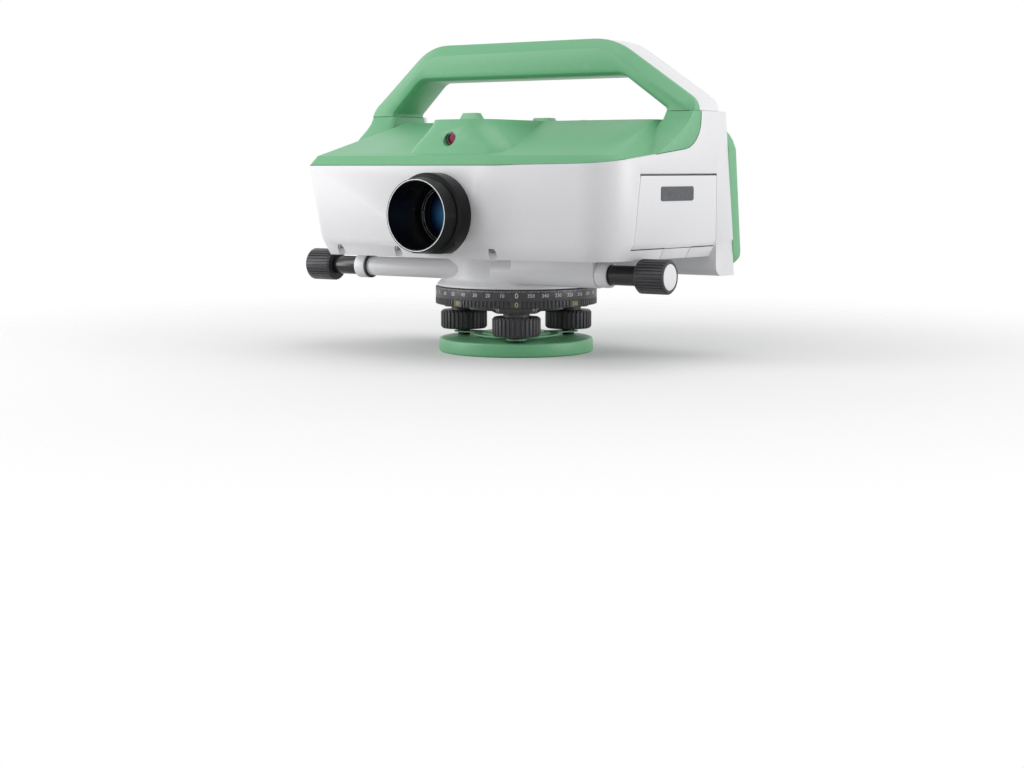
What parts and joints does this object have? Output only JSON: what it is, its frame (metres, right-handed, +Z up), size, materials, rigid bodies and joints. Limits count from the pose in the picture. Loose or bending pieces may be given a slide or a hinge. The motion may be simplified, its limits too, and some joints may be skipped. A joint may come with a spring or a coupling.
{
  "type": "automatic level",
  "caption": "Electronic automatic level: white and green housing with carrying handle, telescope, side drive knobs and degree circle on a three-screw levelling base.",
  "frame": {"origin": "under the base plate, at the mouth of the tripod thread, on the vertical axis", "axes": "+Z up along the vertical axis, -Y along the line of sight towards the staff, +X to the right seen from the objective side"},
  "size_m": [0.332, 0.219, 0.2382],
  "materials": {
    "green_paint": "fine textured satin paint",
    "green_shell": "fine textured satin paint",
    "white_paint": "fine textured satin",
    "black_plastic": "satin",
    "black_metal": "black anodised",
    "steel": "turned",
    "brass": "turned",
    "aluminium": "cast",
    "lens_glass": "coated",
    "vial_glass": "clear",
    "camera_glass": "clear",
    "battery_case": "moulded",
    "circuit": "lacquered board",
    "display_glass": "gloss",
    "key_rubber": "matt",
    "red_key": "satin"
  },
  "bodies": {
    "base": {"base_plate": "green_paint"},
    "foot_front": {"foot_spindle_front": "steel", "foot_knob_front": "black_plastic"},
    "foot_left": {"foot_spindle_left": "steel", "foot_knob_left": "black_plastic"},
    "foot_right": {"foot_spindle_right": "steel", "foot_knob_right": "black_plastic"},
    "spring": {"spring_plate": "steel"},
    "levelled": {"tribrach": "black_metal", "foot_nuts": "brass", "axis_bush": "steel"},
    "circle": {"horizontal_circle": "black_metal"},
    "clutch": {"worm_wheel": "brass"},
    "alidade": {"vertical_axle": "steel", "neck": "white_paint", "drive_tube": "white_paint", "drive_end_rings": "white_paint", "drive_bushes": "brass", "chassis": "aluminium", "lower_housing": "white_paint", "top_cover": "green_shell", "handle_grip": "green_shell", "handle_back": "white_paint", "handle_screws": "steel", "housing_screws": "steel", "door_hinge_pin": "steel", "battery": "battery_case", "objective_hood": "black_metal", "objective_lens": "lens_glass", "lens_ring": "black_metal", "telescope_tube": "black_metal", "compensator_frame": "aluminium", "beam_splitter": "lens_glass", "line_sensor": "circuit", "reticle": "lens_glass", "eyepiece_tube": "black_metal", "eyepiece_lens": "lens_glass", "rear_panel": "green_shell", "display": "display_glass", "keypad": "key_rubber", "level_case": "aluminium", "level_vial": "vial_glass", "camera_window": "camera_glass", "main_board": "circuit"},
    "drive": {"drive_shaft": "black_metal", "drive_knob_left": "black_plastic", "drive_knob_right": "black_plastic", "drive_knob_caps": "white_paint"},
    "door": {"battery_door": "white_paint"},
    "latch": {"door_latch": "white_paint"},
    "focus_drive": {"focus_shaft": "steel", "focus_knob": "black_plastic"},
    "focus": {"focus_cell": "black_metal", "focus_lens": "lens_glass"},
    "pendulum": {"compensator_pendulum": "brass"},
    "eyepiece": {"eyepiece_ring": "black_plastic"},
    "cursor": {"cursor_key": "key_rubber"},
    "power": {"power_key": "red_key"},
    "measure": {"measure_key": "red_key"}
  },
  "joints": [
    {"name": "foot_front_turn", "type": "hinge", "parent": "base", "child": "foot_front", "pos_m": [0.02702, -0.03931, 0], "axis": [0, 0, 1], "range_deg": [-540, 540]},
    {"name": "foot_right_turn", "type": "hinge", "parent": "base", "child": "foot_right", "pos_m": [0.02054, 0.04305, 0], "axis": [0, 0, 1], "range_deg": [-300, 300]},
    {"name": "foot_left_turn", "type": "hinge", "parent": "base", "child": "foot_left", "pos_m": [-0.04755, -0.00374, 0], "axis": [0, 0, 1], "range_deg": [-300, 300]},
    {"name": "tilt_side", "type": "hinge", "parent": "base", "child": "spring", "pos_m": [0, 0, 0.0415], "axis": [0.5664, -0.8241, 0], "range_deg": [-1.14, 1.14]},
    {"name": "tilt_front", "type": "hinge", "parent": "spring", "child": "levelled", "pos_m": [-0.01351, 0.01965, 0.0415], "axis": [-0.8241, -0.5664, 0], "range_deg": [-1.19, 1.19]},
    {"name": "circle_turn", "type": "hinge", "parent": "levelled", "child": "circle", "pos_m": [0, 0, 0.0373], "axis": [0, 0, 1], "continuous": true},
    {"name": "clutch_turn", "type": "hinge", "parent": "levelled", "child": "clutch", "pos_m": [0, 0, 0.0648], "axis": [0, 0, 1], "continuous": true},
    {"name": "fine_turn", "type": "hinge", "parent": "clutch", "child": "alidade", "pos_m": [0, 0, 0.0648], "axis": [0, 0, 1], "continuous": true},
    {"name": "drive_turn", "type": "hinge", "parent": "alidade", "child": "drive", "pos_m": [0, -0.048, 0.0648], "axis": [1, 0, 0], "continuous": true},
    {"name": "door_swing", "type": "hinge", "parent": "alidade", "child": "door", "pos_m": [0.14638, 0.00024, 0.1344], "axis": [-0.1043, -0.9945, 0], "range_deg": [0, 90]},
    {"name": "latch_slide", "type": "slide", "parent": "door", "child": "latch", "axis": [0.9945, -0.1043, 0], "range_m": [0, 0.002], "stiffness_N_per_m": 300},
    {"name": "focus_turn", "type": "hinge", "parent": "alidade", "child": "focus_drive", "pos_m": [0, -0.014, 0.1074], "axis": [1, 0, 0], "range_deg": [-360, 360]},
    {"name": "focus_slide", "type": "slide", "parent": "alidade", "child": "focus", "axis": [0, 1, 0], "range_m": [-0.0088, 0.0088]},
    {"name": "pendulum_swing", "type": "hinge", "parent": "alidade", "child": "pendulum", "pos_m": [0, 0.018, 0.1254], "axis": [1, 0, 0], "range_deg": [-1, 1]},
    {"name": "eyepiece_turn", "type": "hinge", "parent": "alidade", "child": "eyepiece", "pos_m": [0, 0.08, 0.1074], "axis": [0, 1, 0], "range_deg": [-120, 120]},
    {"name": "cursor_press", "type": "slide", "parent": "alidade", "child": "cursor", "axis": [0, -0.9919, -0.1271], "range_m": [0, 0.001], "stiffness_N_per_m": 600},
    {"name": "power_press", "type": "slide", "parent": "alidade", "child": "power", "axis": [0, -0.9919, -0.1271], "range_m": [0, 0.001], "stiffness_N_per_m": 600},
    {"name": "measure_press", "type": "slide", "parent": "alidade", "child": "measure", "axis": [1, 0, 0], "range_m": [0, 0.0015], "stiffness_N_per_m": 600}
  ],
  "couplings": [
    {"joint": "foot_left_turn", "follows": "tilt_side", "ratio": 259.55},
    {"joint": "foot_right_turn", "follows": "tilt_side", "ratio": -259.55},
    {"joint": "foot_front_turn", "follows": "tilt_front", "ratio": -449.56},
    {"joint": "fine_turn", "follows": "drive_turn", "ratio": 0.011111},
    {"joint": "focus_turn", "follows": "focus_slide", "rad_per_m": 699.3}
  ]
}
